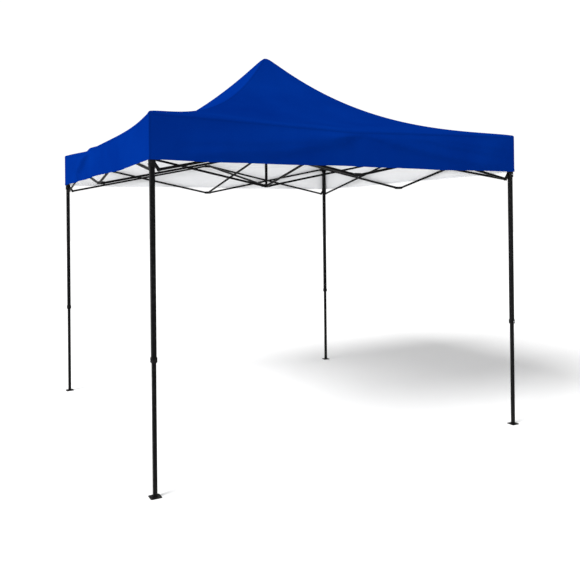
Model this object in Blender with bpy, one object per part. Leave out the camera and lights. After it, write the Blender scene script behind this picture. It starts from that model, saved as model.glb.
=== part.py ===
"""A 3 m pop up gazebo in metres, +Z up, feet on z = 0, standing round the Z axis.

A steel frame of scissor pairs joins four telescopic legs, and a fabric roof with a straight
valance lies over it. Each side of the frame is drawn once, as if it faced +X, then turned
round the middle four times. Every bar, joint, slider, button and tube is a piece of its own,
placed where its pivots are, so the frame can fold.
"""

import math

import bmesh
import bpy
from mathutils import Matrix, Vector

# ---------------------------------------------------------------- driving dimensions
GAP = 0.0004  # running clearance between neighbouring pieces

LEG_CENTRE = 1.490  # leg centre lines and side joints, out from the middle
OUTER_HALF = 0.0150  # upper leg tube, 30 mm square
INNER_HALF = 0.0125  # lower leg tube, 25 mm square
TUBE_WALL = 0.0008
TUBE_CORNER = 0.0025

PIVOT_HIGH = 2.285  # pivots at leg tops, upper side joints and upper hub
PIVOT_LOW = 1.995  # pivots at sliders, lower side joints and lower hub
HUB_REACH = 0.036  # pivot of an inner bar, out from the mast's axis
SIDE_REACH = 0.034  # the same bar's other pivot, in from the side joint
SIDE_SPREAD = 0.025  # pivot of a side bar, along from the side joint
LEG_REACH = 0.045  # the same bar's other pivot, in from the leg's axis

BAR_HIGH = 0.018  # scissor bars are flat tubes, 18 x 12 mm
BAR_WIDE = 0.012
BAR_WALL = 0.0006
BAR_CORNER = 0.0018
BAR_END = 0.012  # bar past its end pivot
LANE = 0.0065  # the two bars of a pair lie this far either side of their plane
PIN_R = 0.0030
HOLE_R = 0.0037
RIVET_HEAD_R = 0.0055
RIVET_HEAD = 0.0014
PIN_SIDES = 8

EAR = 0.003  # thickness of a fork's two cheeks
EAR_R = 0.012  # rounded nose of a cheek
HUB_R = 0.0185
HUB_HALF = 0.016

MAST_R = 0.0125  # outer mast tube, 25 mm
MAST_WALL = 0.0013
ROD_R = 0.0105  # inner mast tube on the lower hub
MAST_BOTTOM = 2.045
ROD_TOP = 2.620
MAST_CAP_R = 0.022
MAST_TOP = 3.130
ROUND_SIDES = 16
SMOOTH_ANGLE = 50  # degrees; sharper edges than this stay crisp

CAP_HALF = 0.0185  # plastic corner on a leg's top
CAP_BOTTOM = 2.262
CAP_TOP = 2.332
OUTER_BOTTOM = 0.826
BOSS_HALF = 0.0185  # swollen lower end of the upper leg tube
BOSS_BOTTOM = 0.818
BOSS_TOP = 0.850
INNER_TOP = 1.180
PLATE_HALF = 0.035
PLATE_THICK = 0.004

COLLAR_HALF = 0.0195  # slider on the upper leg tube
COLLAR_RISE = 0.015  # slider's lower edge above its pivots
COLLAR_HIGH = 0.050

BUTTON_R = 0.0052
BUTTON_HOLE_R = 0.0058
BUTTON_PAD_R = 0.0085
LEG_PAD = 0.0215
LEG_BUTTON = (0.0170, 0.0250)
SLIDER_PAD = 0.0235
SLIDER_BUTTON = (0.0180, 0.0262)

EAVE = 2.3445
PEAK = 3.150
HEM = 2.053
ROOF_HALF = 1.512
HEM_HALF = ROOF_HALF + 0.002
ROOF_POWER = 1.8  # how steeply the roof curves up to its peak
EAVE_SAG = 0.043
FABRIC = 0.0004
ROOF_RINGS = (0.02, 0.12, 0.30, 0.54, 0.80, 1.06, 1.30)
ROOF_STEPS = 8  # steps along each side of the roof

SIDES = ("right", "back", "left", "front")  # turned 0, 90, 180 and 270 degrees
CORNERS = ("back_right", "back_left", "front_left", "front_right")

SPAN = LEG_CENTRE - HUB_REACH - SIDE_REACH
RISE = PIVOT_HIGH - PIVOT_LOW
BAR_LENGTH = math.hypot(SPAN, RISE)  # between end pivots
TILT = math.atan2(RISE, SPAN)

# ---------------------------------------------------------------- scene and materials
for old in list(bpy.data.objects):
    bpy.data.objects.remove(old, do_unlink=True)


def material(name, colour, roughness, metallic):
    made = bpy.data.materials.new(name)
    made.use_nodes = True
    shader = made.node_tree.nodes["Principled BSDF"]
    shader.inputs["Base Color"].default_value = (*colour, 1.0)
    shader.inputs["Roughness"].default_value = roughness
    shader.inputs["Metallic"].default_value = metallic
    return made


COATED = material("coated_steel", (0.012, 0.012, 0.013), 0.42, 0.0)
PLASTIC = material("black_plastic", (0.016, 0.016, 0.017), 0.55, 0.0)
BUTTON = material("button_steel", (0.45, 0.45, 0.46), 0.30, 1.0)
CLOTH = material("blue_fabric", (0.006, 0.040, 0.300), 0.80, 0.0)


# ---------------------------------------------------------------- shape helpers
def turn(quarter):
    """The turn that brings a side drawn facing +X to one of the four sides."""
    return Matrix.Rotation(quarter * math.pi / 2, 4, "Z")


def solid(rings, capped=True):
    """A closed solid through rings of points, each ring the same length and way round."""
    bm = bmesh.new()
    rows = [[bm.verts.new(p) for p in ring] for ring in rings]
    count = len(rows[0])
    for low, high in zip(rows, rows[1:]):
        for i in range(count):
            j = (i + 1) % count
            bm.faces.new((low[i], low[j], high[j], high[i]))
    if capped:
        bm.faces.new(rows[0][::-1])
        bm.faces.new(rows[-1])
    bmesh.ops.recalc_face_normals(bm, faces=bm.faces)
    return bm


def prism(outline, low, high):
    """A solid of an (x, y) outline between two heights."""
    return solid([[(x, y, z) for x, y in outline] for z in (low, high)])


def circle(radius, sides, centre=(0.0, 0.0)):
    steps = [2 * math.pi * (i + 0.5) / sides for i in range(sides)]
    return [(centre[0] + radius * math.cos(a), centre[1] + radius * math.sin(a)) for a in steps]


def box(low, high):
    (x0, y0, z0), (x1, y1, z1) = low, high
    return prism([(x0, y0), (x1, y0), (x1, y1), (x0, y1)], z0, z1)


def soft_oblong(half_x, half_y, corner):
    """An oblong outline with its four corners cut off at 45 degrees."""
    one = [(half_x, half_y - corner), (half_x - corner, half_y)]
    two = [(-x, y) for x, y in reversed(one)]
    return [*one, *two, *((-x, -y) for x, y in one), *((-x, -y) for x, y in two)]


def soft_square(half, corner):
    return soft_oblong(half, half, corner)


def lathe(profile, sides=ROUND_SIDES):
    """A solid of revolution about Z from (radius, height) points, from the foot to the top."""
    return solid([[(x, y, z) for x, y in circle(r, sides)] for r, z in profile])


def placed(bm, matrix):
    bm.transform(matrix)
    return bm


def at(x, y, z):
    return Matrix.Translation((x, y, z))


ALONG_Y = Matrix.Rotation(math.pi / 2, 4, "X")  # stands a +Z prism along Y
ALONG_X = Matrix.Rotation(math.pi / 2, 4, "Y")


def rod_y(radius, low, high, sides=PIN_SIDES):
    return placed(prism(circle(radius, sides), -high, -low), ALONG_Y)


def rod_x(radius, low, high, sides=12):
    return placed(prism(circle(radius, sides), low, high), ALONG_X)


def scratch(bm, name):
    mesh = bpy.data.meshes.new(name)
    bm.to_mesh(mesh)
    bm.free()
    helper = bpy.data.objects.new(name, mesh)
    helper.hide_render = True
    helper.display_type = "WIRE"
    bpy.context.scene.collection.objects.link(helper)
    return helper


def shaped(start, joined=(), cut=()):
    """The mesh left when solids are joined to the first one and others are cut from it."""
    target = scratch(start, "blank")
    for operation, tools in (("UNION", joined), ("DIFFERENCE", cut)):
        for tool in tools:
            helper = scratch(tool, "tool")
            step = target.modifiers.new("step", "BOOLEAN")
            step.solver = "EXACT"
            step.operation = operation
            step.object = helper
            graph = bpy.context.evaluated_depsgraph_get()
            result = bpy.data.meshes.new_from_object(target.evaluated_get(graph))
            target.modifiers.clear()
            target.data = result
            bpy.data.objects.remove(helper, do_unlink=True)
    mesh = target.data
    bpy.data.objects.remove(target, do_unlink=True)
    return mesh


def finished(mesh, name, look, pivot=(0.0, 0.0, 0.0)):
    """A mesh ready for its copies: its material, smooth rounds, and its origin on its pivot."""
    mesh.name = name
    mesh.materials.clear()
    mesh.materials.append(look)
    mesh.shade_smooth()
    mesh.set_sharp_from_angle(angle=math.radians(SMOOTH_ANGLE))
    mesh.transform(at(*pivot).inverted())
    return mesh, pivot


def piece(name, drawn, matrix):
    """One named part of the gazebo, with its origin on the axis that it turns or slides on."""
    mesh, pivot = drawn
    made = bpy.data.objects.new(name, mesh)
    made.matrix_world = matrix @ at(*pivot)
    bpy.context.scene.collection.objects.link(made)
    return made


# ---------------------------------------------------------------- scissor bars
def flat_tube(low, high, half_wide, half_high, corner):
    outline = soft_oblong(half_high, half_wide, corner)
    return placed(prism(outline, low, high), ALONG_X)


def bar_mesh(riveted):
    """A bar along +X from its first pivot at the origin. One bar of each pair has the rivet."""
    holes = [0.0, BAR_LENGTH] if riveted else [0.0, BAR_LENGTH / 2, BAR_LENGTH]
    far = BAR_LENGTH + BAR_END
    joined = []
    if riveted:
        reach = 2 * LANE + BAR_WIDE / 2 + GAP
        pin = rod_y(PIN_R, -BAR_WIDE / 2 - RIVET_HEAD / 2, reach + RIVET_HEAD / 2)
        head = rod_y(RIVET_HEAD_R, reach, reach + RIVET_HEAD)
        foot = rod_y(RIVET_HEAD_R, -BAR_WIDE / 2 - RIVET_HEAD, -BAR_WIDE / 2 + BAR_WALL / 2)
        joined = [placed(part, at(BAR_LENGTH / 2, 0, 0)) for part in (pin, head, foot)]
    hollow = flat_tube(
        -BAR_END - 0.01,
        far + 0.01,
        BAR_WIDE / 2 - BAR_WALL,
        BAR_HIGH / 2 - BAR_WALL,
        BAR_CORNER - BAR_WALL / 2,
    )
    cuts = [placed(rod_y(HOLE_R, -0.02, 0.02), at(x, 0, 0)) for x in holes]
    blank = flat_tube(-BAR_END, far, BAR_WIDE / 2, BAR_HIGH / 2, BAR_CORNER)
    tube = shaped(blank, cut=[hollow, *cuts])
    if not riveted:
        return tube
    start = bmesh.new()
    start.from_mesh(tube)
    return shaped(start, joined=joined)


PLAIN_BAR = bar_mesh(False)
RIVET_BAR = bar_mesh(True)

DOWN = Matrix.Rotation(TILT, 4, "Y")  # a bar along +X dips as it goes out
UP = Matrix.Rotation(-TILT, 4, "Y")
SIDEWAYS = Matrix.Rotation(math.pi / 2, 4, "Z")  # a bar along +X now runs along +Y
SIDE_DOWN = Matrix.Rotation(-TILT, 4, "X") @ SIDEWAYS
SIDE_UP = Matrix.Rotation(TILT, 4, "X") @ SIDEWAYS

SLIDER_LANE = LEG_CENTRE - LANE  # side bars that end at sliders
TOP_LANE = LEG_CENTRE + LANE  # side bars that end at leg tops
LEG_PIVOT = LEG_CENTRE - LEG_REACH
SIDE_PIVOT = LEG_CENTRE - SIDE_REACH


# ---------------------------------------------------------------- forked joints
def fork(reach, rise=None):
    """Two cheeks and a pin at the origin, along Y; the cheeks run back along -X by reach.

    rise = (low, high) raises the root of the cheeks above the pin.
    """
    low, high = rise or (-EAR_R, EAR_R)
    nose = [math.pi * (i / 4 - 0.5) for i in range(5)]
    outline = [(EAR_R * math.cos(a), EAR_R * math.sin(a)) for a in nose]
    outline += [(-reach, high), (-reach, low)]
    inner = BAR_WIDE / 2 + GAP
    parts = []
    for side in (-1, 1):
        faces = sorted((side * inner, side * (inner + EAR)))
        cheek = prism([(x, z) for x, z in outline], -faces[1], -faces[0])
        parts.append(placed(cheek, ALONG_Y))
    parts.append(rod_y(PIN_R, -inner - EAR / 2, inner + EAR / 2))
    return parts


def forks(*places):
    """Forks as (x, y, z, quarter turns from +X, reach, rise)."""
    found = []
    for x, y, z, quarter, reach, rise in places:
        found += [placed(part, at(x, y, z) @ turn(quarter)) for part in fork(reach, rise)]
    return found


def hub_mesh(height, lane, bore, rod=None):
    """A round hub with four forks, and for the lower one the mast's inner tube on it."""
    core = lathe([(HUB_R, height - HUB_HALF), (HUB_R, height + HUB_HALF)])
    arms = []
    for quarter in range(4):
        for part in forks((HUB_REACH, lane, height, 0, HUB_REACH - 0.0135, None)):
            arms.append(placed(part, turn(quarter)))
    top = height + HUB_HALF
    if rod:
        arms.append(lathe([(ROD_R, height), (ROD_R, rod)]))
        top = rod
    cuts = [lathe([(bore, height - HUB_HALF - 0.01), (bore, top + 0.01)])]
    return shaped(core, joined=arms, cut=cuts)


def side_joint_mesh(height, out, lane):
    """A side's middle joint: forks both ways along the side and one towards the hub."""
    cheek = BAR_WIDE / 2 + GAP + EAR
    core = box((out - cheek, -0.0075, height - 0.011), (out + cheek, 0.0075, height + 0.011))
    inward = out - cheek + EAR / 2 - SIDE_PIVOT
    arms = forks(
        (out, SIDE_SPREAD, height, 1, SIDE_SPREAD + 0.002, None),
        (out, -SIDE_SPREAD, height, 3, SIDE_SPREAD + 0.002, None),
        (SIDE_PIVOT, lane, height, 2, inward, None),
    )
    return shaped(core, joined=arms)


def leg_forks(lane, height, face, rise=None):
    """The two forks at a leg, one for each side of the frame that meets there."""
    reach = LEG_REACH - face + 0.002
    one = forks((lane, LEG_PIVOT, height, 3, reach, rise))
    other = forks((lane, -LEG_PIVOT, height, 1, reach, rise))
    return one + [placed(part, turn(1)) for part in other]


AT_LEG = at(LEG_CENTRE, LEG_CENTRE, 0)


def cap_mesh():
    """The plastic corner over a leg's top, with a pocket for the tube."""
    body = placed(prism(soft_square(CAP_HALF, 0.004), CAP_BOTTOM, CAP_TOP), AT_LEG)
    pocket = soft_square(OUTER_HALF + GAP, TUBE_CORNER)
    cut = placed(prism(pocket, CAP_BOTTOM - 0.01, CAP_TOP - 0.0145), AT_LEG)
    return shaped(body, joined=leg_forks(TOP_LANE, PIVOT_HIGH, CAP_HALF), cut=[cut])


def slider_mesh():
    """A square collar on the leg, with its forks hanging below it and a button's pad."""
    low = PIVOT_LOW + COLLAR_RISE
    high = low + COLLAR_HIGH
    middle = (low + high) / 2 - 0.004
    body = placed(prism(soft_square(COLLAR_HALF, 0.004), low, high), AT_LEG)
    arms = leg_forks(SLIDER_LANE, PIVOT_LOW, COLLAR_HALF, (0.018, 0.052))
    pad = placed(rod_x(BUTTON_PAD_R, COLLAR_HALF - 0.003, SLIDER_PAD), AT_LEG @ at(0, 0, middle))
    bore = soft_square(OUTER_HALF + GAP, TUBE_CORNER)
    hole = placed(rod_x(BUTTON_HOLE_R, 0.010, 0.040), AT_LEG @ at(0, 0, middle))
    cuts = [placed(prism(bore, low - 0.01, high + 0.01), AT_LEG), hole]
    return shaped(body, joined=[*arms, pad], cut=cuts), middle


def outer_leg_mesh():
    """The upper leg tube, swollen at its foot where the height button sits."""
    top = CAP_TOP - 0.0145 - GAP
    middle = (BOSS_BOTTOM + BOSS_TOP) / 2
    tube = placed(prism(soft_square(OUTER_HALF, TUBE_CORNER), OUTER_BOTTOM, top), AT_LEG)
    boss = placed(prism(soft_square(BOSS_HALF, 0.004), BOSS_BOTTOM, BOSS_TOP), AT_LEG)
    pad = placed(rod_x(BUTTON_PAD_R, BOSS_HALF - 0.003, LEG_PAD), AT_LEG @ at(0, 0, middle))
    bore = soft_square(OUTER_HALF - TUBE_WALL, TUBE_CORNER - TUBE_WALL)
    hole = placed(rod_x(BUTTON_HOLE_R, 0.010, 0.040), AT_LEG @ at(0, 0, middle))
    cuts = [placed(prism(bore, BOSS_BOTTOM - 0.01, top + 0.01), AT_LEG), hole]
    return shaped(tube, joined=[boss, pad], cut=cuts), middle


def inner_leg_mesh():
    """The lower leg tube, open at its top, with the foot plate welded on."""
    plate = placed(prism(soft_square(PLATE_HALF, 0.006), 0.0, PLATE_THICK), AT_LEG)
    outline = soft_square(INNER_HALF, TUBE_CORNER)
    tube = placed(prism(outline, PLATE_THICK / 2, INNER_TOP), AT_LEG)
    bore = soft_square(INNER_HALF - TUBE_WALL, TUBE_CORNER - TUBE_WALL)
    cut = placed(prism(bore, PLATE_THICK, INNER_TOP + 0.01), AT_LEG)
    return shaped(plate, joined=[tube], cut=[cut])


def button_mesh(ends, height):
    low, high = ends
    rounding = 0.0010
    rings = [(BUTTON_R, low), (BUTTON_R, high - rounding), (BUTTON_R - rounding, high)]
    return shaped(placed(lathe(rings, 12), AT_LEG @ at(0, 0, height) @ ALONG_X))


# ---------------------------------------------------------------- mast
def mast_mesh():
    """The outer mast tube that carries the roof's peak, with its domed cap."""
    dome = []
    for i in range(5):
        angle = math.pi / 2 * i / 5
        rim = MAST_TOP - MAST_CAP_R
        dome.append((MAST_CAP_R * math.cos(angle), rim + MAST_CAP_R * math.sin(angle)))
    profile = [(MAST_R + 0.002, MAST_TOP - 0.050), (MAST_CAP_R, MAST_TOP - 0.034), *dome]
    cap = lathe([*profile, (0.003, MAST_TOP)])
    tube = lathe([(MAST_R, MAST_BOTTOM), (MAST_R, MAST_TOP - 0.030)])
    bore_r = MAST_R - MAST_WALL
    bore = lathe([(bore_r, MAST_BOTTOM - 0.01), (bore_r, MAST_TOP - 0.040)])
    return shaped(tube, joined=[cap], cut=[bore])


# ---------------------------------------------------------------- fabric roof
def roof_height(out, along):
    """Height of the roof at a square ring this far out, this far along from the side's middle."""
    hip = EAVE + (PEAK - EAVE) * (1 - out / ROOF_HALF) ** ROOF_POWER
    sag = EAVE_SAG * (out / ROOF_HALF) ** 2 * (1 - (along / out) ** 2)
    return hip - sag


def square_ring(half, height):
    """Points round a square, with the height worked out from the place along each side."""
    points = []
    for quarter in range(4):
        for step in range(ROOF_STEPS):
            along = half * (2 * step / ROOF_STEPS - 1)
            spot = Vector((half, along, height(along)))
            points.append(turn(quarter) @ spot)
    return points


def canopy_mesh():
    """The roof and valance as a thin closed shell: an outer skin, an inner skin and the hem."""
    rings = [square_ring(HEM_HALF, lambda s: HEM)]
    rings.append(square_ring(ROOF_HALF, lambda s: (HEM + EAVE) / 2))
    for half in (ROOF_HALF, *reversed(ROOF_RINGS)):
        rings.append(square_ring(half, lambda s, h=half: roof_height(h, s)))
    outer = solid(rings, capped=False)
    outer.verts.ensure_lookup_table()
    crown = outer.verts[-4 * ROOF_STEPS :]
    peak = outer.verts.new((0, 0, PEAK - 0.003))
    for i, low in enumerate(crown):
        outer.faces.new((low, crown[(i + 1) % len(crown)], peak))
    # Both skins share these triangles, so that they stay the fabric's thickness apart.
    bmesh.ops.triangulate(outer, faces=outer.faces)
    bmesh.ops.recalc_face_normals(outer, faces=outer.faces)
    outer.normal_update()
    count = 4 * ROOF_STEPS
    skin = [(v.co.copy(), v.normal.copy()) for v in outer.verts]
    inner = [outer.verts.new(co - FABRIC * normal) for co, normal in skin]
    outer.verts.ensure_lookup_table()
    for face in list(outer.faces):
        outer.faces.new([inner[v.index] for v in reversed(face.verts)])
    for i in range(count):
        j = (i + 1) % count
        outer.faces.new((outer.verts[i], outer.verts[j], inner[j], inner[i]))
    for v in inner[:count]:
        v.co.z = HEM
    bmesh.ops.recalc_face_normals(outer, faces=outer.faces)
    mesh = bpy.data.meshes.new("canopy")
    outer.to_mesh(mesh)
    outer.free()
    return mesh


# ---------------------------------------------------------------- putting it together
SLIDER, SLIDER_BUTTON_HEIGHT = slider_mesh()
OUTER_LEG, LEG_BUTTON_HEIGHT = outer_leg_mesh()
TOP_PIVOT = (TOP_LANE, LEG_PIVOT, PIVOT_HIGH)
SLIDER_PIVOT = (SLIDER_LANE, LEG_PIVOT, PIVOT_LOW)

PLAIN = finished(PLAIN_BAR, "plain_bar", COATED)
RIVETED = finished(RIVET_BAR, "riveted_bar", COATED)
HIGH_JOINT = side_joint_mesh(PIVOT_HIGH, SLIDER_LANE, -LANE)
LOW_JOINT = side_joint_mesh(PIVOT_LOW, TOP_LANE, LANE)

BARS = (
    ("bar_inner_down", PLAIN, (HUB_REACH, LANE, PIVOT_HIGH), DOWN),
    ("bar_inner_up", RIVETED, (HUB_REACH, -LANE, PIVOT_LOW), UP),
    ("bar_slider_1", PLAIN, (SLIDER_LANE, SIDE_SPREAD, PIVOT_HIGH), SIDE_DOWN),
    ("bar_slider_2", PLAIN, (SLIDER_LANE, -LEG_PIVOT, PIVOT_LOW), SIDE_UP),
    ("bar_top_1", RIVETED, (TOP_LANE, SIDE_SPREAD, PIVOT_LOW), SIDE_UP),
    ("bar_top_2", RIVETED, (TOP_LANE, -LEG_PIVOT, PIVOT_HIGH), SIDE_DOWN),
)
PER_SIDE = (
    ("joint_high", finished(HIGH_JOINT, "joint_high", PLASTIC, (SIDE_PIVOT, 0, PIVOT_HIGH))),
    ("joint_low", finished(LOW_JOINT, "joint_low", PLASTIC, (SIDE_PIVOT, 0, PIVOT_LOW))),
)
PER_CORNER = (
    ("leg_cap", cap_mesh(), PLASTIC, TOP_PIVOT),
    ("leg_upper", OUTER_LEG, COATED, TOP_PIVOT),
    ("leg_lower", inner_leg_mesh(), COATED, (LEG_CENTRE, LEG_CENTRE, 0)),
    ("slider", SLIDER, PLASTIC, SLIDER_PIVOT),
    (
        "slider_button",
        button_mesh(SLIDER_BUTTON, SLIDER_BUTTON_HEIGHT),
        BUTTON,
        (LEG_CENTRE, LEG_CENTRE, SLIDER_BUTTON_HEIGHT),
    ),
    (
        "leg_button",
        button_mesh(LEG_BUTTON, LEG_BUTTON_HEIGHT),
        BUTTON,
        (LEG_CENTRE, LEG_CENTRE, LEG_BUTTON_HEIGHT),
    ),
)

for number, side in enumerate(SIDES):
    for name, drawn, start, slant in BARS:
        piece(f"{name}_{side}", drawn, turn(number) @ at(*start) @ slant)
    for name, drawn in PER_SIDE:
        piece(f"{name}_{side}", drawn, turn(number))

for name, mesh, look, pivot in PER_CORNER:
    drawn = finished(mesh, name, look, pivot)
    for number, corner in enumerate(CORNERS):
        piece(f"{name}_{corner}", drawn, turn(number))

HUB_LOW = hub_mesh(PIVOT_LOW, -LANE, ROD_R - MAST_WALL, ROD_TOP)
LOW_HUB_PIVOT = (HUB_REACH, 0, PIVOT_LOW)
STILL = Matrix.Identity(4)
piece("hub_upper", finished(hub_mesh(PIVOT_HIGH, LANE, MAST_R + GAP), "hub", PLASTIC), STILL)
piece("hub_lower", finished(HUB_LOW, "hub_rod", PLASTIC, LOW_HUB_PIVOT), STILL)
piece("mast", finished(mast_mesh(), "mast", COATED, (0, 0, MAST_BOTTOM)), STILL)
piece("canopy", finished(canopy_mesh(), "canopy", CLOTH), STILL)
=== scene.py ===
"""A blue pop up gazebo on four telescopic legs, in metres, with the folding frame as packed."""

import math

import bpy
import numpy as np
from mathutils import Matrix, Vector


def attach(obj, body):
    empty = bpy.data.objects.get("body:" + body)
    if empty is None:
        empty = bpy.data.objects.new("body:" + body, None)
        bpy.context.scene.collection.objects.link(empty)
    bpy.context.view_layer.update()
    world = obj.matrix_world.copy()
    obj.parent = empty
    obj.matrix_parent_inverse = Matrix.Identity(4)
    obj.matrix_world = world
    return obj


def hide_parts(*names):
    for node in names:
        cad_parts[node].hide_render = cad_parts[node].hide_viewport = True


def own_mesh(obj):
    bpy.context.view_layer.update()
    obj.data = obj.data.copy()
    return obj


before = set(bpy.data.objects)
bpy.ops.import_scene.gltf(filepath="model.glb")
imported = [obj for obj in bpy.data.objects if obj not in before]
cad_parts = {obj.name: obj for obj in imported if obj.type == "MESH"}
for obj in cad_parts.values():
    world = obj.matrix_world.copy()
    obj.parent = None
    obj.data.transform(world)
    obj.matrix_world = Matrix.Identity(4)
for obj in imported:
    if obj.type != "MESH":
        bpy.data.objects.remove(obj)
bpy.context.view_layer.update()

# ---------------------------------------------------------------- sizes
HALF = 1.514  # roof edge, out from the middle
EAVE_LEVEL = 2.345  # the roof's height at its corners
STEEP_RISE = 0.679  # rise of the hips that gathers near the mast
GENTLE_RISE = 0.156  # rise of the hips that starts at the eave
PEAK_BLUNT = 0.024  # how far the tip is rounded over the mast's cap
PEAK_REACH = 0.3  # how far out that rounding fades
FILLET = 0.012  # where the roof turns down into the valance
HEM_LEVEL = 2.053
VALANCE = 0.290  # depth of the valance, flat
HEM_FOLD = 0.022  # depth of the hem at the valance's foot
HEM_STEP = 0.0012  # depth over which the cloth thickens into its hem
CLOTH_THICK = 0.0011
HEM_THICK = 0.0030
SIDES = ("right", "back", "left", "front")  # turned 0, 90, 180 and 270 degrees
CORNERS = ("back_right", "back_left", "front_left", "front_right")

# How finely the canopy is drawn, and how it is cut into sectors.
ROOF_ROWS = 56
ROW_SPACING = 1.15  # over 1 puts the rows closer together at the peak
FILLET_ROWS = 4
VALANCE_LINES = 25  # from the eave to the hem's fold
HEM_LINES = 4
MID_STEPS = 84
EDGE_STEPS = (0.0, 0.003, 0.007, 0.013, 0.022, 0.034)  # metres in from a corner, at the eave
SECTORS = 9  # roof sectors along a side, between the two that span its hips
SECTOR_REACH = 0.9  # share of a side that they cover


# ---------------------------------------------------------------- roof shape
def hip_height(out):
    """Height of the roof over its hips, this far out."""
    blunt = np.sqrt(out**2 + PEAK_BLUNT**2 * np.clip(1 - out / PEAK_REACH, 0, 1))
    inner = np.clip(1 - blunt / HALF, 0, 1)
    return EAVE_LEVEL + STEEP_RISE * inner**2.5 + GENTLE_RISE * inner**0.7


def hump(s, middle, width):
    """1 at the middle, falling away over the width on both sides."""
    return np.exp(-(((s - middle) / width) ** 2))


def eave_sag(side, s):
    """How far the roof's edge dips below its corners, at share s along a side from -1 to 1."""
    size = np.abs(s)
    if side == "front":
        size = np.minimum(np.sqrt(s**2 + 0.03**2), 1)
        return 0.0435 * (1 - size ** np.where(s < 0, 0.9, 0.7))
    if side == "left":
        kink = 0.011 * hump(s, -0.19, 0.05) - 0.009 * hump(s, -0.36, 0.10)
        return 0.057 * (1 - size ** np.where(s > 0, 5.0, 2.0)) - kink
    return 0.045 * (1 - size**2)


def roof_folds(side, s, out):
    """Slight unevenness of the stretched roof: soft waves, and folds that fan out from each corner."""
    phase = {"right": 0.4, "back": 1.7, "left": 2.6, "front": 3.9}[side]
    share = out / HALF
    soft = np.sin(5.1 * s + 3.0 * share + phase) * np.sin(2.3 * s - 6.2 * share + 2 * phase)
    waves = 0.0045 * soft * (1 - s**2) * np.clip(4 * share * (1 - share), 0, 1)
    for end in (-1, 1):
        across, along = HALF - out, HALF - end * s * out
        away = np.hypot(across, along)
        turn = np.clip(np.arctan2(across, np.maximum(along, 1e-9)) / (math.pi / 4), 0, 1)
        fan = np.sin(2 * math.pi * turn * 1.5 + phase) * np.sin(math.pi * turn) ** 2
        waves = waves + 0.0050 * fan * np.exp(-away / 0.42) * (1 - np.exp(-away / 0.10))
    return waves


def smooth(x):
    """0 up to 0 and 1 from 1, with an S-shaped rise between."""
    x = np.clip(x, 0, 1)
    return x * x * (3 - 2 * x)


def crease(x, y, path, above, below):
    """A ridge of unit height along a path that runs down, wider above or below, fading at its end."""
    best = np.full(x.shape, 1e9)
    side = np.zeros(x.shape)
    fade = np.ones(x.shape)
    lengths = [math.dist(a, b) for a, b in zip(path, path[1:])]
    total, done = sum(lengths), 0.0
    for (ax, ay), (bx, by), length in zip(path, path[1:], lengths):
        ux, uy = (bx - ax) / length, (by - ay) / length
        along = np.clip((x - ax) * ux + (y - ay) * uy, 0, length)
        away = np.hypot(x - ax - ux * along, y - ay - uy * along)
        lower = ((y - ay) * ux - (x - ax) * uy) * (1 if ux >= 0 else -1)
        near = away < best
        best = np.where(near, away, best)
        side = np.where(near, np.sign(lower), side)
        fade = np.where(near, smooth((1 - (done + along) / total) / 0.25), fade)
        done += length
    return np.exp(-((best / np.where(side > 0, below, above)) ** 2)) * fade


def calmed(grid):
    """A grid of heights with its sharpest changes evened out."""
    for axis in (0, 1):
        wide = np.pad(grid, [(1, 1) if a == axis else (0, 0) for a in (0, 1)], mode="edge")
        low, mid, high = (np.take(wide, range(k, k + grid.shape[axis]), axis) for k in (0, 1, 2))
        grid = (low + 2 * mid + high) / 4
    return grid


# Creases of the valances: side, height, widths above and below, then points of
# (share along, share down).
CREASES = (
    ("front", 0.0200, 0.100, 0.024, ((0.02, -0.05), (-0.14, 0.36), (-0.38, 0.66), (-0.90, 0.86))),
    ("front", 0.0180, 0.080, 0.022, ((0.02, -0.05), (0.18, 0.30), (0.42, 0.55), (0.72, 0.80), (0.99, 0.90))),
    ("front", 0.0090, 0.055, 0.018, ((0.30, 0.10), (0.55, 0.32), (0.95, 0.58))),
    ("front", 0.0060, 0.040, 0.016, ((0.45, 0.05), (0.70, 0.26), (0.98, 0.38))),
    ("front", 0.0090, 0.080, 0.026, ((-0.10, 0.22), (-0.50, 0.46), (-0.95, 0.56))),
    ("left", 0.0360, 0.140, 0.036, ((-0.17, -0.05), (-0.33, 0.30), (-0.45, 0.66), (-0.47, 1.15))),
    ("left", 0.0130, 0.060, 0.110, ((-0.62, -0.05), (-0.72, 0.40), (-0.74, 1.15))),
    ("left", 0.0060, 0.060, 0.035, ((0.40, -0.05), (0.34, 0.50), (0.22, 1.15))),
    ("left", 0.0050, 0.050, 0.030, ((0.80, -0.05), (0.72, 0.45), (0.60, 1.15))),
    ("right", 0.0110, 0.090, 0.030, ((0.10, -0.05), (0.28, 0.35), (0.55, 0.70), (0.90, 0.88))),
    ("right", 0.0100, 0.080, 0.030, ((-0.05, -0.05), (-0.30, 0.45), (-0.75, 0.82))),
    ("back", 0.0120, 0.090, 0.030, ((-0.05, -0.05), (0.20, 0.40), (0.50, 0.68), (0.92, 0.86))),
    ("back", 0.0090, 0.080, 0.028, ((0.10, -0.05), (-0.25, 0.35), (-0.60, 0.75), (-0.95, 0.90))),
)


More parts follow.
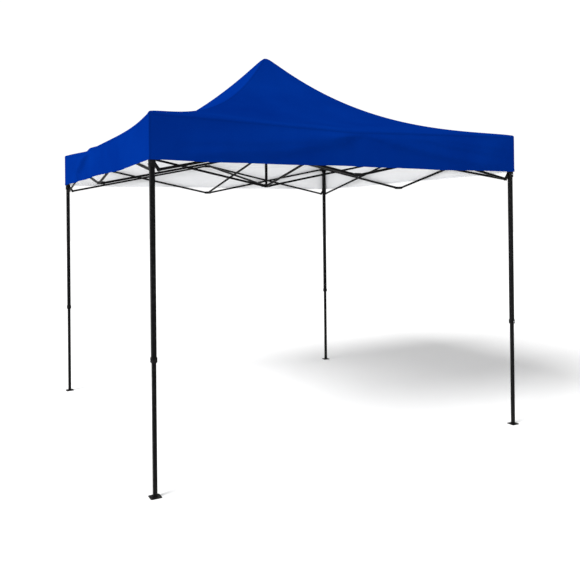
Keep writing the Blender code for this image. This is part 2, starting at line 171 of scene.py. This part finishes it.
def valance_bulge(side, s, y):
    """How far the valance stands out from its plane, y metres below the eave."""
    x, down = s * HALF, y / VALANCE
    phase = {"right": 0.9, "back": 2.2, "left": 3.1, "front": 0.2}[side]
    bulge = np.zeros(x.shape)
    for owner, height, above, below, path in CREASES:
        if owner == side:
            spots = [(a * HALF, b * VALANCE) for a, b in path]
            bulge = bulge + height * crease(x, y, spots, above, below)
    bulge = calmed(bulge)
    ruffle = np.sin(x * 23 + phase) * 0.55 + np.sin(x * 41 + 2.1 * phase) * 0.3 + np.sin(x * 11.5 - phase)
    bulge = bulge + 0.0016 * (ruffle + 1.1) * smooth(down * 1.1)
    bulge = bulge + 0.0040 * (1 - s**2) * np.sin(math.pi * np.clip(down, 0, 1) * 0.5)
    return bulge * smooth((1 - np.abs(s)) / 0.10)


def hem_level(side, s):
    """Height of the hem's lower edge, which wanders a little between the corners."""
    low = np.full(np.shape(s), HEM_LEVEL)
    if side == "left":
        low = low - 0.010 * hump(s, 0.46, 0.28)
    wander = np.sin(6.3 * s + len(side)) + 0.6 * np.sin(14.9 * s + 1.3 * len(side))
    return low - 0.0022 * (wander + 1.5) * smooth((1 - np.abs(s)) / 0.12)


# ---------------------------------------------------------------- the canopy's surface
def shares():
    """Places along a side from -1 to 1, closer together at both corners."""
    ends = np.array([1 - step / HALF for step in EDGE_STEPS])
    middle = np.linspace(-ends[-1], ends[-1], MID_STEPS - 1)[1:-1]
    return np.concatenate([-ends, middle, ends[::-1]])


ALONG = shares()


def turned(points, quarter):
    """Points drawn for the +X side, turned to another side."""
    c, s = ((1, 0), (0, 1), (-1, 0), (0, -1))[quarter]
    x, y, z = points[..., 0], points[..., 1], points[..., 2]
    return np.stack([c * x - s * y, s * x + c * y, z], -1)


def roof_grid(side):
    """Rows of points from the peak to below the fillet, drawn for the +X side, with cloth and hip places."""
    rows = (HALF - FILLET) * (np.arange(ROOF_ROWS + 1) / ROOF_ROWS) ** ROW_SPACING
    out, s = np.meshgrid(rows, ALONG, indexing="ij")
    height = hip_height(out) - eave_sag(side, s) * (out / HALF) ** 2 + roof_folds(side, s, out)
    fall = (height[-2] - height[-1]) / (rows[-1] - rows[-2])
    start, bend = height[-1], height[-1] - fall * FILLET
    share = (np.arange(1, FILLET_ROWS + 1) / FILLET_ROWS)[:, None]
    low = (1 - share) ** 2 * start + 2 * share * (1 - share) * bend + share**2 * (bend - FILLET)
    reach = HALF - FILLET * (1 - share) ** 2
    out = np.concatenate([out, np.broadcast_to(reach, low.shape)])
    height = np.concatenate([height, low])
    s = np.concatenate([s, np.repeat(ALONG[None], FILLET_ROWS, 0)])
    points = np.stack([out, s * out, height], -1)
    steps = np.linalg.norm(np.diff(points, axis=0), axis=-1)
    slope = np.concatenate([np.zeros((1, len(ALONG))), np.cumsum(steps, 0)])
    cloth = np.stack([s * out, slope - slope[-1:]], -1)
    from_hip = (out - np.abs(s) * out) / math.sqrt(2)
    hip = np.stack([from_hip, np.broadcast_to(slope[:, :1], out.shape)], -1)
    return points, cloth, hip


def valance_grid(side, top):
    """Rows of points from the fillet to the hem's foot, with the hem standing a little proud."""
    fold = VALANCE - HEM_FOLD
    hung, hem = np.linspace(0, fold, VALANCE_LINES), np.linspace(fold, VALANCE, HEM_LINES)
    y = np.concatenate([hung, [fold + HEM_STEP], hem[1:]])
    y, s = np.meshgrid(y, ALONG, indexing="ij")
    in_hem = y > fold + HEM_STEP / 2
    down = y / VALANCE
    height = top * (1 - down) + hem_level(side, s) * down
    bulge = valance_bulge(side, s, y) * smooth(down * 5)
    proud = np.where(in_hem, (HEM_THICK - CLOTH_THICK) / 2, 0)
    points = np.stack([HALF + bulge + proud, s * (HALF + proud), height], -1)
    cloth = np.stack([s * HALF, y], -1)
    hip = np.stack([HALF - np.abs(s) * HALF, y], -1)
    thick = np.where(in_hem, HEM_THICK, CLOTH_THICK)
    return points, cloth, hip, thick


def grid_normals(points):
    """Outward unit normals of a grid whose rows run down and whose columns run along."""
    down, along = np.gradient(points, axis=0), np.gradient(points, axis=1)
    normal = np.cross(down, along)
    size = np.linalg.norm(normal, axis=-1, keepdims=True)
    return normal / np.maximum(size, 1e-12)


class Sheet:
    """Collects a thin closed shell, face by face, with its normals and its cloth and hip places."""

    def __init__(self):
        self.points, self.faces, self.looks = [], [], []
        self.normals, self.cloth, self.hip = [], [], []
        self.found = {}
        self.area = 0.0

    def vertex(self, point):
        key = tuple(round(float(v) * 1e6) for v in point)
        if key not in self.found:
            self.found[key] = len(self.points)
            self.points.append(tuple(float(v) for v in point))
        return self.found[key]

    def face(self, look, corners):
        """corners holds (point, normal, cloth, hip) for each corner, anticlockwise from outside."""
        index, kept = [], []
        for corner in corners:
            i = self.vertex(corner[0])
            if i not in index:
                index.append(i)
                kept.append(corner)
        if len(index) < 3:
            return
        self.faces.append(index)
        self.looks.append(look)
        for _, normal, cloth, hip in kept:
            self.normals.append(normal)
            self.cloth.append(cloth)
            self.hip.append(hip)

    def patch(self, outer, inner, normals, cloth, hip, walls):
        """A grid's outer and inner skins, with walls on the named edges."""
        rows, columns = outer.shape[:2]

        def corner(grid, i, j, sign):
            return (grid[i, j], sign * normals[i, j], cloth[i, j], hip[i, j])

        for i in range(rows - 1):
            for j in range(columns - 1):
                ring = ((i, j), (i + 1, j), (i + 1, j + 1), (i, j + 1))
                # Both skins share one diagonal, so that neither shows through the other.
                for half in (ring[:3], (ring[0], *ring[2:])):
                    self.face(0, [corner(outer, a, b, 1) for a, b in half])
                    self.face(1, [corner(inner, a, b, -1) for a, b in reversed(half)])
                a, b, c, d = (outer[p] for p in ring)
                self.area += np.linalg.norm(np.cross(c - a, d - b)) / 2
        edges = {
            "first": [(i, 0) for i in range(rows)],
            "last": [(i, columns - 1) for i in reversed(range(rows))],
            "low": [(rows - 1, j) for j in range(columns)],
            "high": [(0, j) for j in reversed(range(columns))],
        }
        for name in walls:
            for p, q in zip(edges[name], edges[name][1:]):
                flat = np.cross(outer[q] - outer[p], inner[p] - outer[p])
                size = np.linalg.norm(flat)
                if size < 1e-12:
                    continue
                flat = -flat / size
                spots = ((outer, q), (outer, p), (inner, p), (inner, q))
                self.face(0, [(g[k], flat, cloth[k], hip[k]) for g, k in spots])

    def finished(self, name, looks):
        """The object, with its outer and inner looks."""
        mesh = bpy.data.meshes.new(name)
        mesh.from_pydata(self.points, [], self.faces)
        for look in looks:
            mesh.materials.append(look)
        mesh.polygons.foreach_set("material_index", self.looks)
        mesh.polygons.foreach_set("use_smooth", [True] * len(self.faces))
        for layer, values in (("cloth", self.cloth), ("hip", self.hip)):
            uv = mesh.uv_layers.new(name=layer)
            uv.data.foreach_set("uv", np.array(values, np.float32).ravel())
        mesh.update()
        mesh.normals_split_custom_set([tuple(float(v) for v in n) for n in self.normals])
        obj = bpy.data.objects.new(name, mesh)
        bpy.context.scene.collection.objects.link(obj)
        return obj


# ---------------------------------------------------------------- materials
class Look:
    """Builds one material's nodes."""

    def __init__(self, name):
        self.material = bpy.data.materials.new(name)
        self.material.use_nodes = True
        self.tree = self.material.node_tree
        self.shader = self.tree.nodes["Principled BSDF"]

    def add(self, kind, settings=(), **inputs):
        made = self.tree.nodes.new(kind)
        for key, value in dict(settings).items():
            setattr(made, key, value)
        for key, value in inputs.items():
            self.put(made.inputs[key.replace("_", " ")], value)
        return made

    def put(self, socket, value):
        if isinstance(value, bpy.types.NodeSocket):
            self.tree.links.new(value, socket)
        else:
            socket.default_value = value

    def math(self, operation, *values):
        made = self.add("ShaderNodeMath", {"operation": operation})
        for socket, value in zip(made.inputs, values):
            self.put(socket, value)
        return made.outputs[0]

    def between(self, value, low, high):
        """0 at low, 1 at high, straight in between."""
        made = self.add("ShaderNodeMapRange", {"clamp": True})
        self.put(made.inputs["Value"], value)
        self.put(made.inputs["From Min"], low)
        self.put(made.inputs["From Max"], high)
        return made.outputs["Result"]

    def spread(self, value, low, high):
        """0 to 1 turned into low to high."""
        made = self.add("ShaderNodeMapRange", {"clamp": True})
        self.put(made.inputs["Value"], value)
        self.put(made.inputs["To Min"], low)
        self.put(made.inputs["To Max"], high)
        return made.outputs["Result"]

    def mix(self, share, a, b):
        made = self.add("ShaderNodeMix", {"data_type": "RGBA"})
        self.put(made.inputs["Factor"], share)
        for socket, value in ((made.inputs[6], a), (made.inputs[7], b)):
            self.put(socket, value if isinstance(value, bpy.types.NodeSocket) else (*value, 1))
        return made.outputs[2]

    def noise(self, place, scale, detail=2.0, roughness=0.5):
        made = self.add("ShaderNodeTexNoise", Scale=scale, Detail=detail, Roughness=roughness)
        self.put(made.inputs["Vector"], place)
        return made.outputs["Fac"]

    def stretched(self, place, scale):
        made = self.add("ShaderNodeMapping")
        self.put(made.inputs["Vector"], place)
        made.inputs["Scale"].default_value = scale
        return made.outputs["Vector"]

    def bump(self, height, strength, distance, before=None):
        made = self.add("ShaderNodeBump", Strength=strength, Distance=distance)
        self.put(made.inputs["Height"], height)
        if before is not None:
            self.put(made.inputs["Normal"], before)
        return made.outputs["Normal"]

    def finish(self, **inputs):
        for key, value in inputs.items():
            self.put(self.shader.inputs[key.replace("_", " ")], value)
        return self.material


THREAD = 0.0011  # pitch of the weave
STITCH = 0.0042  # length of one stitch
STITCH_SHARE = 0.68  # share of it that thread covers
SEAM_ROWS = (0.0045, 0.0105)  # rows of stitches, in from a hip or down from the eave
HEM_ROWS = (0.004, 0.009)  # rows of stitches, down from the hem's fold
SEAM_EDGE = (0.0125, 0.0140)  # a seam's doubled cloth ends between these


def cloth_pattern(look):
    """(weave, stitches, seam folds), each from 0 to 1, and the cloth's places along and down."""

    def parts(name):
        place = look.add("ShaderNodeUVMap", {"uv_map": name}).outputs["UV"]
        split = look.add("ShaderNodeSeparateXYZ")
        look.put(split.inputs[0], place)
        return split.outputs["X"], split.outputs["Y"]

    along, down = parts("cloth")
    aside, hipward = parts("hip")
    warp = look.math("SINE", look.math("MULTIPLY", along, 2 * math.pi / THREAD))
    weft = look.math("SINE", look.math("MULTIPLY", down, 2 * math.pi / THREAD))
    weave = look.math("MULTIPLY_ADD", look.math("MULTIPLY", warp, weft), 0.5, 0.5)

    def dashes(run):
        share = look.math("FRACT", look.math("DIVIDE", run, STITCH))
        return look.math("LESS_THAN", share, STITCH_SHARE)

    def row(place, where):
        away = look.math("ABSOLUTE", look.math("SUBTRACT", place, where))
        return look.math("SUBTRACT", 1.0, look.between(away, 0.0003, 0.0008))

    level = look.math("MAXIMUM", row(down, SEAM_ROWS[0]), row(down, SEAM_ROWS[1]))
    for where in HEM_ROWS:
        level = look.math("MAXIMUM", level, row(down, VALANCE - HEM_FOLD + where))
    level = look.math("MULTIPLY", level, dashes(along))
    hips = look.math("MAXIMUM", row(aside, SEAM_ROWS[0]), row(aside, SEAM_ROWS[1]))
    hips = look.math("MULTIPLY", hips, dashes(hipward))
    stitches = look.math("MAXIMUM", level, hips)
    near_hip = look.math("SUBTRACT", 1.0, look.between(aside, *SEAM_EDGE))
    below = look.math("SUBTRACT", 1.0, look.between(down, *SEAM_EDGE))
    near_eave = look.math("MULTIPLY", below, look.between(down, -0.0015, 0.0))
    folds = look.math("MAXIMUM", near_hip, near_eave)
    return weave, stitches, folds, along, down


def fabric(name, deep, light, thread, roughness, gloss):
    """Woven cloth between a deep and a light tone, with slubs, soft crumples, seams and stitches."""
    look = Look(name)
    place = look.add("ShaderNodeTexCoord").outputs["Object"]
    weave, stitches, folds, along, down = cloth_pattern(look)
    flat = look.add("ShaderNodeCombineXYZ", X=along, Y=down).outputs[0]
    broad = look.noise(place, 1.7, 3.0)
    slubs = look.noise(look.stretched(flat, (90.0, 900.0, 1.0)), 1.0, 2.0)
    crossed = look.noise(look.stretched(flat, (900.0, 90.0, 1.0)), 1.0, 2.0)
    tone = look.math("ADD", look.math("MULTIPLY", broad, 0.62), look.math("MULTIPLY", slubs, 0.38))
    tone = look.math("ADD", tone, look.math("MULTIPLY", look.math("SUBTRACT", weave, 0.5), 0.16))
    colour = look.mix(look.between(tone, 0.28, 0.72), deep, light)
    colour = look.mix(look.math("MULTIPLY", folds, 0.10), colour, tuple(0.72 * v for v in deep))
    colour = look.mix(look.math("MULTIPLY", stitches, 0.70), colour, thread)
    threads = look.math("ADD", look.math("ADD", slubs, crossed), weave)
    crumple = look.noise(place, 9.0, 4.0, 0.55)
    normal = look.bump(crumple, 0.20, 0.012)
    normal = look.bump(threads, 0.30, 0.00030, normal)
    normal = look.bump(look.math("ADD", folds, look.math("MULTIPLY", stitches, 0.6)), 0.5, 0.0007, normal)
    rough = look.spread(slubs, roughness - 0.06, roughness + 0.08)
    return look.finish(Base_Color=colour, Normal=normal, Specular_IOR_Level=gloss, Roughness=rough)


def coated_steel():
    """Black powder coat with orange peel, scuffs, dust low down, and grey on worn edges."""
    look = Look("powder_coat")
    place = look.add("ShaderNodeTexCoord").outputs["Object"]
    peel = look.noise(place, 420.0, 2.0, 0.5)
    cloud = look.noise(place, 7.0, 3.0)
    scratch = look.noise(look.stretched(place, (260.0, 260.0, 9.0)), 1.0, 3.0, 0.6)
    marks = look.math("MULTIPLY", look.between(scratch, 0.63, 0.74), look.between(cloud, 0.45, 0.65))
    edge = look.between(look.add("ShaderNodeNewGeometry").outputs["Pointiness"], 0.53, 0.58)
    worn = look.math("MULTIPLY", edge, look.between(look.noise(place, 60.0, 4.0, 0.7), 0.50, 0.66))
    height = look.add("ShaderNodeSeparateXYZ")
    look.put(height.inputs[0], place)
    low = look.math("SUBTRACT", 1.0, look.between(height.outputs["Z"], 0.0, 0.16))
    dust = look.math("MULTIPLY", low, look.between(look.noise(place, 28.0, 4.0, 0.6), 0.35, 0.8))
    colour = look.mix(cloud, (0.0030, 0.0030, 0.0032), (0.0052, 0.0052, 0.0055))
    colour = look.mix(look.math("MULTIPLY", marks, 0.25), colour, (0.014, 0.014, 0.0145))
    colour = look.mix(look.math("MULTIPLY", worn, 0.35), colour, (0.045, 0.045, 0.045))
    colour = look.mix(look.math("MULTIPLY", dust, 0.10), colour, (0.10, 0.09, 0.08))
    rough = look.math("ADD", look.spread(cloud, 0.36, 0.50), look.math("MULTIPLY", marks, 0.2))
    return look.finish(Base_Color=colour, Roughness=rough, Specular_IOR_Level=0.045,
                       Normal=look.bump(peel, 0.12, 0.0004))


def moulded_plastic():
    """Black nylon with a fine spark-eroded grain and paler rubbed places."""
    look = Look("moulded_plastic")
    place = look.add("ShaderNodeTexCoord").outputs["Object"]
    grain = look.noise(place, 1500.0, 2.0, 0.6)
    cloud = look.noise(place, 22.0, 3.0)
    rub = look.between(look.noise(place, 75.0, 4.0, 0.65), 0.56, 0.72)
    edge = look.between(look.add("ShaderNodeNewGeometry").outputs["Pointiness"], 0.52, 0.58)
    colour = look.mix(cloud, (0.0045, 0.0045, 0.0048), (0.0085, 0.0085, 0.0090))
    colour = look.mix(look.math("MULTIPLY", rub, look.spread(edge, 0.08, 0.5)), colour, (0.035, 0.035, 0.036))
    return look.finish(Base_Color=colour, Roughness=look.spread(grain, 0.46, 0.64),
                       Specular_IOR_Level=0.06, Normal=look.bump(grain, 0.35, 0.00025))


def plated_steel():
    """Zinc-plated steel with fine rubbing marks."""
    look = Look("plated_steel")
    place = look.add("ShaderNodeTexCoord").outputs["Object"]
    fine = look.noise(look.stretched(place, (900.0, 900.0, 140.0)), 1.0, 3.0, 0.6)
    cloud = look.noise(place, 160.0, 3.0)
    colour = look.mix(cloud, (0.38, 0.39, 0.41), (0.62, 0.62, 0.63))
    return look.finish(Base_Color=colour, Metallic=1.0, Roughness=look.spread(fine, 0.20, 0.42),
                       Normal=look.bump(fine, 0.15, 0.0001))


BLUE = fabric(
    "blue_oxford",
    deep=(0.0002, 0.0150, 0.165),
    light=(0.0004, 0.0250, 0.225),
    thread=(0.0003, 0.012, 0.12),
    roughness=0.90,
    gloss=0.0,
)
COATING = fabric(
    "white_coating",
    deep=(0.86, 0.87, 0.88),
    light=(0.92, 0.92, 0.93),
    thread=(0.55, 0.60, 0.70),
    roughness=0.65,
    gloss=0.05,
)
COAT, MOULDED, PLATED = coated_steel(), moulded_plastic(), plated_steel()


def dress_frame():
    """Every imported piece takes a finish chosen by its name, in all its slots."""
    for name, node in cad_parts.items():
        if "button" in name:
            look = PLATED
        elif name.startswith(("bar_", "leg_upper", "leg_lower", "mast")):
            look = COAT
        elif name == "canopy":
            look = BLUE
        else:
            look = MOULDED
        for slot in node.material_slots:
            slot.material = look


# ---------------------------------------------------------------- the canopy's pieces
def skins(points, normals, thick, cloth, hip):
    """A grid's outer and inner skins, and what goes with them, as Sheet.patch takes them."""
    return points, points - normals * thick, normals, cloth, hip


def cover_side(quarter, side):
    """The skins of one side's roof and of its valance."""
    roof, cloth, hip = roof_grid(side)
    hung, hung_cloth, hung_hip, thick = valance_grid(side, roof[-1, :, 2])
    normals = grid_normals(np.concatenate([roof, hung[1:]]))
    normals[0] = (0, 0, 1)
    rows = len(roof)
    roof, hung, normals = (turned(grid, quarter) for grid in (roof, hung, normals))
    return (
        skins(roof, normals[:rows], CLOTH_THICK, cloth, hip),
        skins(hung, normals[rows - 1 :], thick[..., None], hung_cloth, hung_hip),
    )


def join_corners(sides):
    """Closes four sides' skins to each other, so that the inner ones meet on their common plane."""
    for quarter in range(4):
        outer, inner = sides[quarter][:2]
        next_outer, next_inner = sides[(quarter + 1) % 4][:2]
        edge = outer[:, -1]
        next_outer[:, 0] = edge
        pull = (inner[:, -1] - edge) + (next_inner[:, 0] - edge)
        size = np.linalg.norm(pull, axis=-1, keepdims=True)
        step = np.linalg.norm(inner[:, -1] - edge, axis=-1, keepdims=True)
        cosine = np.clip(size / np.maximum(2 * step, 1e-12), 0.35, 1)
        met = edge + pull / np.maximum(size, 1e-12) * step / cosine
        inner[:, -1] = met
        next_inner[:, 0] = met


def cover():
    """The skins of the four roof sides and of the four valances, joined all round."""
    roofs, valances = zip(*(cover_side(quarter, side) for quarter, side in enumerate(SIDES)))
    join_corners(roofs)
    join_corners(valances)
    for outer, inner, *_ in roofs:
        inner[0] = outer[0] - np.array([0, 0, CLOTH_THICK])
    return roofs, valances


ROOFS, VALANCES = cover()


def roof_sector(name, parts):
    """A piece of the roof: (quarter, first column, last column, walled edges) for each side it is on."""
    made = Sheet()
    for quarter, first, last, walls in parts:
        made.patch(*(grid[:, first : last + 1] for grid in ROOFS[quarter]), walls)
    obj = made.finished(name, (BLUE, COATING))
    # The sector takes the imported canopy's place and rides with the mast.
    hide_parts("canopy")
    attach(obj, "mast")
    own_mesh(obj)


def valance(quarter, side):
    """One side's valance, which rides with that side's upper joint."""
    made = Sheet()
    made.patch(*VALANCES[quarter], ("first", "last", "low", "high"))
    obj = made.finished(f"valance_{side}", (BLUE, COATING))
    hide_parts("canopy")
    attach(obj, f"joint_high_{side}")
    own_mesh(obj)


def canopy():
    """Each side's roof sectors, then the sector over the hip after it, then its valance."""
    reach = np.linspace(-SECTOR_REACH, SECTOR_REACH, SECTORS + 1)
    cuts = [int(np.abs(ALONG - s).argmin()) for s in reach]
    for quarter, side in enumerate(SIDES):
        for n, (first, last) in enumerate(zip(cuts, cuts[1:])):
            roof_sector(f"roof_{side}_{n + 1}", [(quarter, first, last, ("first", "last", "low"))])
        here = (quarter, cuts[-1], len(ALONG) - 1, ("first", "low"))
        after = ((quarter + 1) % 4, 0, cuts[0], ("last", "low"))
        roof_sector(f"roof_{CORNERS[quarter]}", [here, after])
        valance(quarter, side)


dress_frame()
canopy()


# ---------------------------------------------------------------- floor, light and camera
FLOOR_HALF, FLOOR_LEVEL = 60.0, -0.0005
SUN_STRENGTH, SUN_SPREAD = 3.7, 28  # watts a square metre, degrees
SUN_HEADING = (0.75, 0.22, -0.63)
FILL_LIGHT = 0.60  # even light from all round
BACKDROP_WHITE = 1.05  # what the camera sees behind the object
CAMERA_PLACE = (-2.6488, -5.5002, 1.6702)
CAMERA_TURN = (27.705, 0.266, -0.607)  # heading east of +Y, pitch and roll, in degrees
LENS, LENS_RISE = 41.64, -0.1242  # millimetres on a 36 mm sensor, and the shift as a share of it


def floor():
    """A large pale floor that fades into the backdrop."""
    mesh = bpy.data.meshes.new("floor")
    around = ((-1, -1), (1, -1), (1, 1), (-1, 1))
    corners = [(x * FLOOR_HALF, y * FLOOR_HALF, FLOOR_LEVEL) for x, y in around]
    mesh.from_pydata(corners, [], [(0, 1, 2, 3)])
    look = Look("pale_floor")
    place = look.add("ShaderNodeTexCoord").outputs["Object"]
    cloud = look.noise(place, 0.8, 2.0)
    colour = look.mix(cloud, (0.91, 0.91, 0.91), (0.94, 0.94, 0.94))
    mesh.materials.append(look.finish(Base_Color=colour, Roughness=0.9, Specular_IOR_Level=0.1))
    obj = bpy.data.objects.new("floor", mesh)
    bpy.context.scene.collection.objects.link(obj)


def key_light():
    """One broad soft light from the left, about 40 degrees up."""
    data = bpy.data.lights.new("key", "SUN")
    data.energy, data.angle = SUN_STRENGTH, math.radians(SUN_SPREAD)
    obj = bpy.data.objects.new("key", data)
    obj.rotation_euler = Vector(SUN_HEADING).to_track_quat("-Z", "Y").to_euler()
    bpy.context.scene.collection.objects.link(obj)


def backdrop():
    """Even white light from all round, and a white backdrop behind."""
    world = bpy.data.worlds.new("studio")
    bpy.context.scene.world = world
    world.use_nodes = True
    tree = world.node_tree
    tree.nodes.clear()
    out = tree.nodes.new("ShaderNodeOutputWorld")
    seen, fill = (tree.nodes.new("ShaderNodeBackground") for _ in range(2))
    for shade, strength in ((seen, BACKDROP_WHITE), (fill, FILL_LIGHT)):
        shade.inputs["Strength"].default_value = strength
        shade.inputs["Color"].default_value = (1, 1, 1, 1)
    path, mixed = tree.nodes.new("ShaderNodeLightPath"), tree.nodes.new("ShaderNodeMixShader")
    tree.links.new(path.outputs["Is Camera Ray"], mixed.inputs[0])
    tree.links.new(fill.outputs[0], mixed.inputs[1])
    tree.links.new(seen.outputs[0], mixed.inputs[2])
    tree.links.new(mixed.outputs[0], out.inputs[0])


def camera():
    """The viewpoint: at head height, off the front left corner, almost level."""
    yaw, pitch, roll = (math.radians(v) for v in CAMERA_TURN)
    ahead = Vector((math.sin(yaw) * math.cos(pitch), math.cos(yaw) * math.cos(pitch), math.sin(pitch)))
    right = Vector((math.cos(yaw), -math.sin(yaw), 0))
    up = right.cross(ahead)
    tilted = right * math.cos(roll) + up * math.sin(roll)
    up = up * math.cos(roll) - right * math.sin(roll)
    data = bpy.data.cameras.new("camera")
    data.sensor_width, data.lens, data.shift_y = 36.0, LENS, LENS_RISE
    data.clip_end = 200.0
    obj = bpy.data.objects.new("camera", data)
    turn = Matrix((tilted, up, -ahead)).transposed()
    obj.matrix_world = Matrix.Translation(CAMERA_PLACE) @ turn.to_4x4()
    bpy.context.scene.collection.objects.link(obj)
    bpy.context.scene.camera = obj


floor()
backdrop()
key_light()
camera()
bpy.context.scene.view_settings.view_transform = "Standard"
